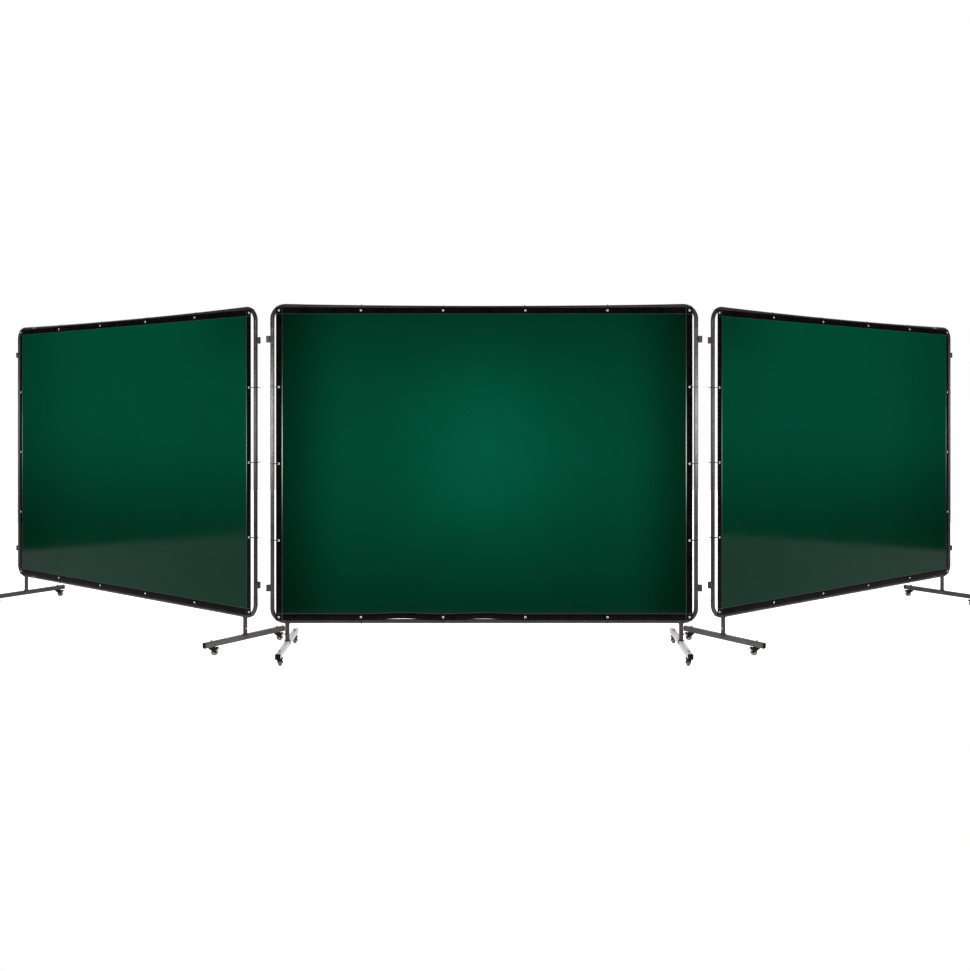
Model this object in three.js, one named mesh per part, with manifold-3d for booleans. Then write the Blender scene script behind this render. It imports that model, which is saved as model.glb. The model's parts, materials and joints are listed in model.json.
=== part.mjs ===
// Free-standing welding curtain screen: three framed vinyl curtains on braked casters.
// The outer two are swept back.
// Millimetres, +Z up, the middle screen's curtain facing -Y, the floor at z = 0.
import * as THREE from "three";
import { ConvexGeometry } from "three/addons/geometries/ConvexGeometry.js";
import { mergeVertices } from "three/addons/utils/BufferGeometryUtils.js";
import Module from "manifold-3d";

const wasm = await Module();
wasm.setup();

// ---------------------------------------------------------------- driving dimensions
// Curtain and the gaps that it hangs with
const CURTAIN_WIDTH = 2438;
const CURTAIN_HEIGHT = 1829;
const CURTAIN_THICKNESS = 0.6;
const CURTAIN_SIDE_GAP = 12.5; // from each post to the curtain's edge
const CURTAIN_RAIL_LAP = 2; // how far the curtain covers the top and bottom rails
const CURTAIN_STANDOFF = 1; // between the tubes' front and the curtain's back

// Frame tube
const TUBE_DIAMETER = 25;
const TUBE_WALL = 1.5;
const CORNER_RADIUS = 75; // on the tube's centreline
const CORNER_RISE = 140; // from the rail's outer edge to the joint with the post
const RAIL_SAG = 11; // of the top rail at mid-span
const SPIGOT_LENGTH = 40;
const SPIGOT_WALL = 1.5;
const SPIGOT_COLLAR = 6; // length of the spigot that is fixed in its own tube
const FIT_GAP = 0.3; // between pieces that slot together
const CUT_OVERRUN = 1; // how far a cut runs past the face that it opens

// Coupling sleeves on the posts
const SLEEVE_DIAMETER = 25;
const SLEEVE_BORE = 15;
const SLEEVE_HEIGHT = 38;
const SLEEVE_SETBACK = 207; // from the frame's top or bottom edge to the sleeve's middle
const SLEEVE_WELD = 0.8; // how far the sleeve sinks into the post

// Feet
const LEG_SETBACK = 12.5; // from the end of the corner bend to the leg's middle
const LEG_HEIGHT = 102.5; // from the base bar's top to the bottom rail's underside
const LEG_END_WALL = 1; // left between the leg's bore and the rail
const SOCKET_HEIGHT = 50;
const BAR_LENGTH = 520;
const BAR_SIZE = 30;
const BAR_WALL = 2;
const WING_FOOT_TURN = 14; // degrees that an outer screen's feet are turned from square to it
const MIDDLE_FOOT_TURN = 2.6; // the same for the middle screen's feet, with their rear ends outwards
const STEM_SETBACK = 44; // from the bar's end to the caster's stem
const STEM_DIAMETER = 8;
const NUT_WIDTH = 13;
const NUT_HEIGHT = 7;

// Casters
const WHEEL_DIAMETER = 38;
const WHEEL_WIDTH = 17;
const WHEEL_CHAMFER = 1.8;
const CASTER_TRAIL = 20;
const AXLE_DIAMETER = 6;
const FORK_PLATE = 2.5;
const FORK_SIDE_GAP = 2; // between the wheel and each side plate
const FORK_HOOD_GAP = 2.5; // between the wheel's tread and the hood
const FORK_CROWN_DIAMETER = 31;
const FORK_CROWN_THICKNESS = 6;
const FORK_TOP_GAP = 1.2; // between the crown and the base bar
const FORK_SHOULDER = 1; // from the crown's top down to the side plates' top
const FORK_SKIRT = 2; // how far the side plates' upper edge reaches below the crown
const FORK_BOSS_RADIUS = 6; // round the axle
const STEM_HEAD_DIAMETER = 15;
const STEM_HEAD_THICKNESS = 3.5;
const STEM_HEAD_GAP = 5; // from the wheel's top up to the stem's head
const BRAKE_PIN_DIAMETER = 3;
const BRAKE_BARREL_DIAMETER = 7;
const BRAKE_EAR_RADIUS = 5;
const BRAKE_PIVOT_GAP = 5.4; // from the tread to the middle of the brake's pin
const BRAKE_PIVOT_TILT = 53; // degrees above the horizontal, seen from the axle
const BRAKE_SHOE_GAP = 0.3; // between the tread and the shoe's corners as they pass it
const BRAKE_SHOE_THICKNESS = 5;
const BRAKE_PEDAL_LENGTH = 29;
const BRAKE_PEDAL_SLOPE = 32; // degrees below the horizontal
const BRAKE_PEDAL_WIDTH = 15;
const BRAKE_PEDAL_THICKNESS = 2.6;

// Where the outer screens stand
const WING_ANGLE = 30.25; // degrees swept back from the middle screen
const WING_OFFSET_X = 101.3; // from the middle frame's edge to the outer frame's edge
const WING_OFFSET_Y = 84; // how far behind the middle frame that edge stands

// Roundness of the faceted pieces
const TUBE_SIDES = 12;
const WHEEL_SIDES = 16;
const SMALL_SIDES = 8;
const CORNER_STEPS = 4;
const SAG_STEPS = 2; // in half the top rail

// ---------------------------------------------------------------- sizes that follow
const headTop = WHEEL_DIAMETER + STEM_HEAD_GAP + STEM_HEAD_THICKNESS;
const crownBottom = headTop + FIT_GAP;
const crownTop = crownBottom + FORK_CROWN_THICKNESS;
const barBottom = crownTop + FORK_TOP_GAP;
const barTop = barBottom + BAR_SIZE;
const socketTop = barTop + SOCKET_HEIGHT;

const tubeRadius = TUBE_DIAMETER / 2;
const boreRadius = tubeRadius - TUBE_WALL;
const spigotRadius = boreRadius * Math.cos(Math.PI / TUBE_SIDES) - FIT_GAP;
const frameWidth = CURTAIN_WIDTH + 2 * (CURTAIN_SIDE_GAP + TUBE_DIAMETER);
const frameHeight = CURTAIN_HEIGHT + 2 * (TUBE_DIAMETER - CURTAIN_RAIL_LAP);
const frameBottom = barTop + LEG_HEIGHT;
const frameTop = frameBottom + frameHeight;
const railZ = { bottom: frameBottom + tubeRadius, top: frameTop - tubeRadius };
const postX = frameWidth / 2 - tubeRadius;
const legX = postX - CORNER_RADIUS - LEG_SETBACK;
const sleeveX = postX + tubeRadius + SLEEVE_DIAMETER / 2 - SLEEVE_WELD;
const stemY = BAR_LENGTH / 2 - STEM_SETBACK;

const wheelRadius = WHEEL_DIAMETER / 2;
const treadRadius = wheelRadius / Math.cos(Math.PI / WHEEL_SIDES);
const axle = new THREE.Vector2(CASTER_TRAIL, wheelRadius);
const brakePivot = new THREE.Vector2(Math.cos(rad(BRAKE_PIVOT_TILT)), Math.sin(rad(BRAKE_PIVOT_TILT)))
  .multiplyScalar(wheelRadius + BRAKE_PIVOT_GAP)
  .add(axle);
const forkSlot = WHEEL_WIDTH + 2 * FORK_SIDE_GAP;
const forkWidth = forkSlot + 2 * FORK_PLATE;

function rad(degrees) {
  return THREE.MathUtils.degToRad(degrees);
}

// Radius of a faceted hole that a round piece turns freely in
function runningHole(diameter, sides) {
  return (diameter / 2 + FIT_GAP) / Math.cos(Math.PI / sides);
}

// ---------------------------------------------------------------- solids
function solidOf(geometry) {
  const bare = geometry.clone();
  bare.deleteAttribute("normal");
  bare.deleteAttribute("uv");
  const merged = mergeVertices(bare, 1e-4);
  return new wasm.Manifold(
    new wasm.Mesh({
      numProp: 3,
      vertProperties: new Float32Array(merged.attributes.position.array),
      triVerts: new Uint32Array(merged.index.array),
    }),
  );
}

function geometryOf(solid) {
  const { vertProperties, triVerts } = solid.getMesh();
  const geometry = new THREE.BufferGeometry();
  geometry.setAttribute("position", new THREE.BufferAttribute(vertProperties, 3));
  geometry.setIndex(new THREE.BufferAttribute(triVerts, 1));
  geometry.computeVertexNormals();
  return geometry;
}

function joined(...solids) {
  return solids.reduce((whole, piece) => whole.add(piece));
}

// A cylinder from one height to another
function upright(radius, zLow, zHigh, sides = TUBE_SIDES) {
  const geometry = new THREE.CylinderGeometry(radius, radius, zHigh - zLow, sides);
  geometry.rotateX(Math.PI / 2);
  geometry.translate(0, 0, (zLow + zHigh) / 2);
  return geometry;
}

// A cylinder across the caster, along Y
function crossways(radius, length, sides = SMALL_SIDES) {
  return new THREE.CylinderGeometry(radius, radius, length, sides);
}

function block(width, depth, height) {
  return new THREE.BoxGeometry(width, depth, height);
}

function at(geometry, x, y, z) {
  return solidOf(geometry.clone().translate(x, y, z));
}

// A path whose sections stand exactly on its points
class PointPath extends THREE.Curve {
  constructor(points) {
    super();
    this.points = points;
  }

  getPoint(t) {
    const place = t * (this.points.length - 1);
    const i = Math.min(Math.floor(place), this.points.length - 2);
    return this.points[i].clone().lerp(this.points[i + 1], place - i);
  }

  getPointAt(t) {
    return this.getPoint(t);
  }

  getTangentAt(t) {
    const last = this.points.length - 1;
    const i = Math.round(t * last);
    const before = this.points[Math.max(i - 1, 0)];
    const here = this.points[i];
    const after = this.points[Math.min(i + 1, last)];
    const arriving = here.clone().sub(before).normalize();
    const leaving = after.clone().sub(here).normalize();
    return arriving.add(leaving).normalize();
  }
}

function roundBar(points, radius, sides) {
  const section = new THREE.Shape();
  for (let i = 0; i < sides; i++) {
    const angle = (2 * Math.PI * i) / sides;
    const point = [radius * Math.cos(angle), radius * Math.sin(angle)];
    if (i === 0) section.moveTo(...point);
    else section.lineTo(...point);
  }
  return solidOf(
    new THREE.ExtrudeGeometry(section, { steps: points.length - 1, extrudePath: new PointPath(points) }),
  );
}

// ---------------------------------------------------------------- frame
// Centreline of a rail with its two corner bends. Both ends point along `towards` (+1 up, -1 down).
function railPath(z, towards, riseEnd, sag) {
  const points = [];
  const bendZ = z + towards * CORNER_RADIUS;
  const bendX = postX - CORNER_RADIUS;
  points.push(new THREE.Vector3(-postX, 0, riseEnd));
  for (let i = 0; i <= CORNER_STEPS; i++) {
    const angle = (i / CORNER_STEPS) * (Math.PI / 2);
    const x = -bendX - CORNER_RADIUS * Math.cos(angle);
    points.push(new THREE.Vector3(x, 0, bendZ - towards * CORNER_RADIUS * Math.sin(angle)));
  }
  for (let i = 1; sag > 0 && i <= SAG_STEPS; i++) {
    const share = i / SAG_STEPS - 1;
    points.push(new THREE.Vector3(bendX * share, 0, z - sag * (1 - share * share)));
  }
  const leftHalf = points.filter((point) => point.x < 0);
  const rightHalf = leftHalf.map((point) => new THREE.Vector3(-point.x, 0, point.z));
  points.push(...rightHalf.reverse());
  return points;
}

// The same path with both ends carried a little further, for cutting a bore that runs out of both ends
function lengthened(points, towards) {
  const longer = points.map((point) => point.clone());
  longer[0].z += towards;
  longer[longer.length - 1].z += towards;
  return longer;
}

// A short reduced tube that slots into the next one, its collar fixed in its own tube.
// It points up from z = 0.
function spigot() {
  const inner = spigotRadius - SPIGOT_WALL;
  const fixed = boreRadius + TUBE_WALL / 2;
  const profile = [
    [inner, -SPIGOT_COLLAR],
    [fixed, -SPIGOT_COLLAR],
    [fixed, -FIT_GAP],
    [spigotRadius, -FIT_GAP],
    [spigotRadius, SPIGOT_LENGTH],
    [inner, SPIGOT_LENGTH],
    [inner, -SPIGOT_COLLAR],
  ].map(([x, y]) => new THREE.Vector2(x, y));
  return new THREE.LatheGeometry(profile, SMALL_SIDES).rotateX(Math.PI / 2);
}

function spigotAt(x, z, towards) {
  const geometry = spigot();
  if (towards < 0) geometry.rotateX(Math.PI);
  return at(geometry, x, 0, z);
}

function rail(z, towards, sag) {
  const riseEnd = z + towards * (CORNER_RISE - tubeRadius);
  const path = railPath(z, towards, riseEnd, sag);
  const outer = roundBar(path, tubeRadius, TUBE_SIDES);
  const bore = roundBar(lengthened(path, towards), boreRadius, SMALL_SIDES);
  const spigots = [-postX, postX].map((x) => spigotAt(x, riseEnd, towards));
  return { outer, bore, spigots };
}

function topRail() {
  const { outer, bore, spigots } = rail(railZ.top, -1, RAIL_SAG);
  return joined(outer.subtract(bore), ...spigots);
}

function bottomRail() {
  const { outer, bore, spigots } = rail(railZ.bottom, 1, 0);
  const legBottom = socketTop + FIT_GAP;
  const legs = [-legX, legX].map((x) => at(upright(tubeRadius, legBottom, railZ.bottom), x, 0, 0));
  const legBore = upright(boreRadius, legBottom - CUT_OVERRUN, frameBottom - LEG_END_WALL);
  const legBores = [-legX, legX].map((x) => at(legBore, x, 0, 0));
  const legSpigots = [-legX, legX].map((x) => spigotAt(x, legBottom, -1));
  const hollow = joined(outer, ...legs).subtract(joined(bore, ...legBores));
  return joined(hollow, ...spigots, ...legSpigots);
}

function post(side) {
  const low = frameBottom + CORNER_RISE + FIT_GAP;
  const high = frameTop - CORNER_RISE - FIT_GAP;
  const sleeveLift = SLEEVE_SETBACK - SLEEVE_HEIGHT / 2;
  const sleeveBottoms = [frameBottom + sleeveLift, frameTop - sleeveLift - SLEEVE_HEIGHT];
  const offset = side * (sleeveX - postX);
  const sleeves = sleeveBottoms.map((z) =>
    at(upright(SLEEVE_DIAMETER / 2, z, z + SLEEVE_HEIGHT), offset, 0, 0),
  );
  const boreLength = SLEEVE_HEIGHT + 2 * CUT_OVERRUN;
  const sleeveBore = upright(SLEEVE_BORE / 2, -CUT_OVERRUN, boreLength - CUT_OVERRUN, SMALL_SIDES);
  const sleeveBores = sleeveBottoms.map((z) => at(sleeveBore, offset, 0, z));
  const tube = solidOf(upright(tubeRadius, low, high));
  const bore = solidOf(upright(boreRadius, low - CUT_OVERRUN, high + CUT_OVERRUN));
  return joined(tube, ...sleeves).subtract(joined(bore, ...sleeveBores));
}

function curtain() {
  return block(CURTAIN_WIDTH, CURTAIN_THICKNESS, CURTAIN_HEIGHT);
}

// ---------------------------------------------------------------- foot
// Base bar along Y with its upright socket, and a stem, nut and stem head for each caster
function foot() {
  const inside = BAR_SIZE - 2 * BAR_WALL;
  const barZ = barBottom + BAR_SIZE / 2;
  const bar = at(block(BAR_SIZE, BAR_LENGTH, BAR_SIZE), 0, 0, barZ);
  const barBore = at(block(inside, BAR_LENGTH + 2 * CUT_OVERRUN, inside), 0, 0, barZ);
  const socket = solidOf(upright(tubeRadius, barTop - BAR_WALL / 2, socketTop));
  const socketBore = solidOf(upright(boreRadius, barTop, socketTop + CUT_OVERRUN));
  const parts = [];
  for (const y of [-stemY, stemY]) {
    const nutRadius = NUT_WIDTH / 2 / Math.cos(Math.PI / 6);
    const nut = upright(nutRadius, barTop - BAR_WALL / 2, barTop + NUT_HEIGHT, 6);
    const stemBottom = headTop - STEM_HEAD_THICKNESS / 2;
    const stem = upright(STEM_DIAMETER / 2, stemBottom, barTop + NUT_HEIGHT / 2, SMALL_SIDES);
    const head = upright(STEM_HEAD_DIAMETER / 2, headTop - STEM_HEAD_THICKNESS, headTop, SMALL_SIDES);
    parts.push(at(nut, 0, y, 0), at(stem, 0, y, 0), at(head, 0, y, 0));
  }
  return joined(bar.subtract(barBore), socket.subtract(socketBore), ...parts);
}

// ---------------------------------------------------------------- caster
// It swivels about Z through its own origin on the floor, and its wheel trails towards +X.
function circlePoints(centre, radius, y) {
  const points = [];
  for (let i = 0; i < SMALL_SIDES; i++) {
    const angle = (2 * Math.PI * i) / SMALL_SIDES;
    const x = centre.x + radius * Math.cos(angle);
    points.push(new THREE.Vector3(x, y, centre.y + radius * Math.sin(angle)));
  }
  return points;
}

// One full-width arm of the fork, from the crown to a round end about `centre`
function forkArm(centre, radius) {
  const points = [];
  const topHalf = FORK_CROWN_DIAMETER / 2 - FORK_PLATE / 2;
  for (const y of [-forkWidth / 2, forkWidth / 2]) {
    points.push(...circlePoints(centre, radius, y));
    for (const x of [-topHalf, topHalf]) {
      points.push(new THREE.Vector3(x, y, crownBottom - FORK_SKIRT));
      points.push(new THREE.Vector3(x, y, crownTop - FORK_SHOULDER));
    }
  }
  return solidOf(new ConvexGeometry(points));
}

function fork() {
  const body = joined(forkArm(axle, FORK_BOSS_RADIUS), forkArm(brakePivot, BRAKE_EAR_RADIUS));
  const crown = solidOf(upright(FORK_CROWN_DIAMETER / 2, crownBottom, crownTop));
  const stemHoleRadius = runningHole(STEM_DIAMETER, SMALL_SIDES);
  const stemHole = solidOf(upright(stemHoleRadius, 0, barBottom, SMALL_SIDES));
  const headRoomRadius = runningHole(STEM_HEAD_DIAMETER, SMALL_SIDES);
  const headRoom = solidOf(upright(headRoomRadius, 0, crownBottom, SMALL_SIDES));
  const wheelRoom = at(crossways(wheelRadius + FORK_HOOD_GAP, forkSlot, TUBE_SIDES), axle.x, 0, axle.y);
  const brakeRoomLength = 2 * (BRAKE_EAR_RADIUS + CUT_OVERRUN);
  const brakeRoom = at(block(brakeRoomLength, forkSlot, crownTop), brakePivot.x, 0, crownTop / 2);
  const pinLength = forkSlot + FORK_PLATE;
  const axlePin = at(crossways(AXLE_DIAMETER / 2, pinLength), axle.x, 0, axle.y);
  const brakePin = at(crossways(BRAKE_PIN_DIAMETER / 2, pinLength), brakePivot.x, 0, brakePivot.y);
  return joined(
    joined(body, crown).subtract(joined(stemHole, headRoom, wheelRoom, brakeRoom)),
    axlePin,
    brakePin,
  );
}

// Ring with chamfered tread round its own axle, along Y. One of its flats lies on the floor.
function wheel() {
  const bore = runningHole(AXLE_DIAMETER, WHEEL_SIDES);
  const half = WHEEL_WIDTH / 2;
  const profile = [
    [bore, -half],
    [treadRadius - WHEEL_CHAMFER, -half],
    [treadRadius, -half + WHEEL_CHAMFER],
    [treadRadius, half - WHEEL_CHAMFER],
    [treadRadius - WHEEL_CHAMFER, half],
    [bore, half],
    [bore, -half],
  ].map(([x, y]) => new THREE.Vector2(x, y));
  return new THREE.LatheGeometry(profile, WHEEL_SIDES).rotateY(Math.PI / WHEEL_SIDES);
}

// Pedal and shoe round the brake's own pin, along Y
function brake() {
  const barrel = solidOf(crossways(BRAKE_BARREL_DIAMETER / 2, BRAKE_PEDAL_WIDTH));
  const pinHoleLength = BRAKE_PEDAL_WIDTH + 2 * CUT_OVERRUN;
  const pinHole = solidOf(crossways(runningHole(BRAKE_PIN_DIAMETER, SMALL_SIDES), pinHoleLength));
  const pedalPlate = block(BRAKE_PEDAL_LENGTH, BRAKE_PEDAL_WIDTH, BRAKE_PEDAL_THICKNESS)
    .translate(BRAKE_PEDAL_LENGTH / 2 + BRAKE_PIN_DIAMETER / 2 + FIT_GAP, 0, 0)
    .rotateY(rad(BRAKE_PEDAL_SLOPE));
  const shoeReach = BRAKE_PIVOT_GAP + wheelRadius - treadRadius - BRAKE_SHOE_GAP;
  const shoeLength = Math.sqrt(shoeReach ** 2 - (BRAKE_SHOE_THICKNESS / 2) ** 2);
  const shoePlate = block(shoeLength, BRAKE_PEDAL_WIDTH, BRAKE_SHOE_THICKNESS)
    .translate(-shoeLength / 2, 0, 0)
    .rotateY(rad(-BRAKE_PIVOT_TILT));
  return joined(barrel, solidOf(pedalPlate), solidOf(shoePlate)).subtract(pinHole);
}

// ---------------------------------------------------------------- finishes
const FINISHES = {
  frame: { color: 0x232022, roughness: 0.38, metalness: 0.4 },
  foot: { color: 0x5d5856, roughness: 0.42, metalness: 0.4 },
  curtain: { color: 0x00422f, roughness: 0.2, metalness: 0 },
  fork: { color: 0x18191a, roughness: 0.45, metalness: 0.1 },
  wheel: { color: 0x8b8a86, roughness: 0.5, metalness: 0 },
  brake: { color: 0x3a3a38, roughness: 0.4, metalness: 0.5 },
};

const geometries = {
  topRail: geometryOf(topRail()),
  bottomRail: geometryOf(bottomRail()),
  leftPost: geometryOf(post(-1)),
  rightPost: geometryOf(post(1)),
  curtain: curtain(),
  foot: geometryOf(foot()),
  fork: geometryOf(fork()),
  wheel: wheel(),
  brake: geometryOf(brake()),
};

function piece(name, geometry, finish) {
  const mesh = new THREE.Mesh(geometry, new THREE.MeshStandardMaterial(FINISHES[finish]));
  mesh.name = name;
  return mesh;
}

// ---------------------------------------------------------------- assembly
function caster(name) {
  const group = new THREE.Group();
  group.rotation.z = Math.PI / 2;
  const wheelMesh = piece(name + "_wheel", geometries.wheel, "wheel");
  wheelMesh.position.set(axle.x, 0, axle.y);
  const brakeMesh = piece(name + "_brake", geometries.brake, "brake");
  brakeMesh.position.set(brakePivot.x, 0, brakePivot.y);
  group.add(piece(name + "_fork", geometries.fork, "fork"), wheelMesh, brakeMesh);
  return group;
}

// One foot with its front and rear casters, which trail to the rear along the bar
function footWithCasters(name) {
  const group = new THREE.Group();
  group.add(piece(name + "_foot", geometries.foot, "foot"));
  for (const [place, y] of [
    ["front", -stemY],
    ["rear", stemY],
  ]) {
    const unit = caster(`${name}_${place}`);
    unit.position.y = y;
    group.add(unit);
  }
  return group;
}

// One screen, standing on the floor about its own middle.
// `side` is -1, 0 or 1 for the left, middle or right one.
function screen(name, side) {
  const group = new THREE.Group();
  const curtainMesh = piece(name + "_curtain", geometries.curtain, "curtain");
  const curtainY = -(tubeRadius + CURTAIN_STANDOFF + CURTAIN_THICKNESS / 2);
  curtainMesh.position.set(0, curtainY, (frameBottom + frameTop) / 2);
  const leftPost = piece(name + "_left_post", geometries.leftPost, "frame");
  const rightPost = piece(name + "_right_post", geometries.rightPost, "frame");
  leftPost.position.x = -postX;
  rightPost.position.x = postX;
  group.add(
    piece(name + "_top_rail", geometries.topRail, "frame"),
    piece(name + "_bottom_rail", geometries.bottomRail, "frame"),
    leftPost,
    rightPost,
    curtainMesh,
  );
  for (const [end, x] of [
    ["left", -legX],
    ["right", legX],
  ]) {
    const unit = footWithCasters(`${name}_${end}`);
    unit.position.x = x;
    unit.rotation.z = side === 0 ? -Math.sign(x) * rad(MIDDLE_FOOT_TURN) : side * rad(WING_FOOT_TURN);
    group.add(unit);
  }
  return group;
}

// The line midway between two facing sleeves, which an outer screen swings about
function wing(name, side) {
  const swing = new THREE.Group();
  const angle = side * rad(WING_ANGLE);
  const along = new THREE.Vector2(Math.cos(angle), Math.sin(angle)).multiplyScalar(side);
  const edge = new THREE.Vector2(side * (frameWidth / 2 + WING_OFFSET_X), WING_OFFSET_Y);
  const middle = along.clone().multiplyScalar(frameWidth / 2).add(edge);
  const facingSleeve = along.clone().multiplyScalar(-sleeveX).add(middle);
  const hinge = facingSleeve.add(new THREE.Vector2(side * sleeveX, 0)).multiplyScalar(0.5);
  const panel = screen(name, side);
  panel.rotation.z = angle;
  panel.position.set(middle.x - hinge.x, middle.y - hinge.y, 0);
  swing.position.set(hinge.x, hinge.y, 0);
  swing.add(panel);
  return swing;
}

const group = new THREE.Group();
group.add(screen("centre_screen", 0), wing("left_screen", -1), wing("right_screen", 1));

// The origin is on the floor in the middle of the whole set
group.updateMatrixWorld(true);
const middle = new THREE.Box3().setFromObject(group, true).getCenter(new THREE.Vector3());
group.position.set(-middle.x, -middle.y, 0);

export default group;
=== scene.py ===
import json
import math
import random

import bmesh
import bpy
from mathutils import Matrix, Vector, noise

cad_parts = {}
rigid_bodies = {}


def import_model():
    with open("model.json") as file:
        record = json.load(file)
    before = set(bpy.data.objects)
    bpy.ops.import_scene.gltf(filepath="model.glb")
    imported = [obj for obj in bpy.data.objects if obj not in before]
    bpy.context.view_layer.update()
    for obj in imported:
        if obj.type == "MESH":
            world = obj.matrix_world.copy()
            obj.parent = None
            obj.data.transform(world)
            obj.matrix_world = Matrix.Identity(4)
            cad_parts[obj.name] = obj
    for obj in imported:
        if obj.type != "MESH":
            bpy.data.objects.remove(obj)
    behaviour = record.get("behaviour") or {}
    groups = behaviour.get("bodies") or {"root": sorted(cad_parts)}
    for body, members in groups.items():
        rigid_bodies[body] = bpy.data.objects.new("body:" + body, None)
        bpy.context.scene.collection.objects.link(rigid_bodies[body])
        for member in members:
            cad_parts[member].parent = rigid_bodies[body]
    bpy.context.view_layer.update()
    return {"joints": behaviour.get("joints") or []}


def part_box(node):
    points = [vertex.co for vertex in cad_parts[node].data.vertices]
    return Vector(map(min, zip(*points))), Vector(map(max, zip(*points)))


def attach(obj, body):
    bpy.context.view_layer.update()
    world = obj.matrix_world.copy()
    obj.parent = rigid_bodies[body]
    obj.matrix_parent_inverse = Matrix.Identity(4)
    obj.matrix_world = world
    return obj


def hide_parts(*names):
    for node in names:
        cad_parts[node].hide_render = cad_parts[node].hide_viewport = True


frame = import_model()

MM = 0.001
UP = Vector((0, 0, 1))
SCREENS = ("centre_screen", "left_screen", "right_screen")

# ------------------------------------------------------------------ sizes, in metres
CURTAIN_WIDTH = 2438 * MM
CURTAIN_HEIGHT = 1829 * MM
CURTAIN_THICKNESS = 0.6 * MM
CURTAIN_WAVE = 0.9 * MM
HEM_WIDTH = 35 * MM
HEM_LAYER = 0.45 * MM
SEAM_WIDTH = 4 * MM
SEAM_LAYER = 0.25 * MM
GROMMET_INSET = 16 * MM
GROMMETS_ACROSS = 6
LOWER_EDGE_BOWS = ((1, 9, 8, 1, 1), (1, 2, 1, 2, 1), (2, 1, 1, 2, 1))  # mm, between its grommets
GROMMETS_DOWN = 5

TUBE_RADIUS = 12.5 * MM
TUBE_WALL = 1.5 * MM
CORNER_RADIUS = 75 * MM
ELBOW_REACH = 190 * MM
ELBOW_SWELL = 0.35 * MM
RAIL_SAG = 11 * MM
SLEEVE_SETBACK = 207 * MM
SLEEVE_HEIGHT = 38 * MM
SLEEVE_BORE = 7.5 * MM
SLEEVE_REACH = 24.2 * MM

BAR_SIZE = 30 * MM
BAR_LENGTH = 520 * MM
SOCKET_HEIGHT = 50 * MM
SADDLE_DROP = 20 * MM
CAP_SIZE = 31.5 * MM
CAP_LENGTH = 6 * MM
CAP_OVERHANG = 5 * MM

WHEEL_RADIUS = 19 * MM
WHEEL_WIDTH = 17 * MM
FORK_SLOT = 21 * MM
FORK_PLATE = 2.5 * MM
FORK_BOSS_RADIUS = 6 * MM
FORK_EAR_RADIUS = 5 * MM

# ------------------------------------------------------------------ places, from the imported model
joints = {j["name"]: j for j in frame["joints"]}
rail_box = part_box("centre_screen_top_rail")
post_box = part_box("centre_screen_left_post")
foot_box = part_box("centre_screen_left_foot")
fork_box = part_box("centre_screen_left_front_fork")
frame_top = rail_box[1].z
post_x = (rail_box[1].x - rail_box[0].x) / 2 - TUBE_RADIUS
joint_z = {"bottom": post_box[0].z, "top": post_box[1].z}
frame_bottom = joint_z["bottom"] - (frame_top - joint_z["top"])
rail_z = {"bottom": frame_bottom + TUBE_RADIUS, "top": frame_top - TUBE_RADIUS}
curtain_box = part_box("centre_screen_curtain")
curtain_low, curtain_high = curtain_box[0].z, curtain_box[1].z
panel_y = joints["centre_screen_left_front_swivel"]["pos_m"][1]
panel_y = (panel_y + joints["centre_screen_left_rear_swivel"]["pos_m"][1]) / 2
curtain_y = (curtain_box[0].y + curtain_box[1].y) / 2 - panel_y
socket_top = foot_box[1].z
bar_top = socket_top - SOCKET_HEIGHT
bar_bottom = bar_top - BAR_SIZE
crown_top = fork_box[1].z


def pos(joint):
    return Vector(joints[joint]["pos_m"])


def standing(origin, x_axis):
    """A frame upright on the floor at origin, with that horizontal X axis."""
    x = Vector((x_axis.x, x_axis.y, 0)).normalized()
    placed = Matrix((x, UP.cross(x), UP)).transposed().to_4x4()
    placed.translation = (origin.x, origin.y, 0)
    return placed


def foot_frame(foot):
    front, rear = pos(foot + "_front_swivel"), pos(foot + "_rear_swivel")
    return standing((front + rear) / 2, (rear - front).cross(UP))


def panel_frame(screen):
    left = foot_frame(screen + "_left").translation
    right = foot_frame(screen + "_right").translation
    return standing((left + right) / 2, right - left)


def caster_frame(caster):
    stem = pos(caster + "_swivel")
    return standing(stem, pos(caster + "_roll") - stem)


def in_caster(caster, joint):
    return caster_frame(caster).inverted() @ pos(caster + joint)


leg_x = foot_frame("centre_screen_right").translation.x


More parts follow.
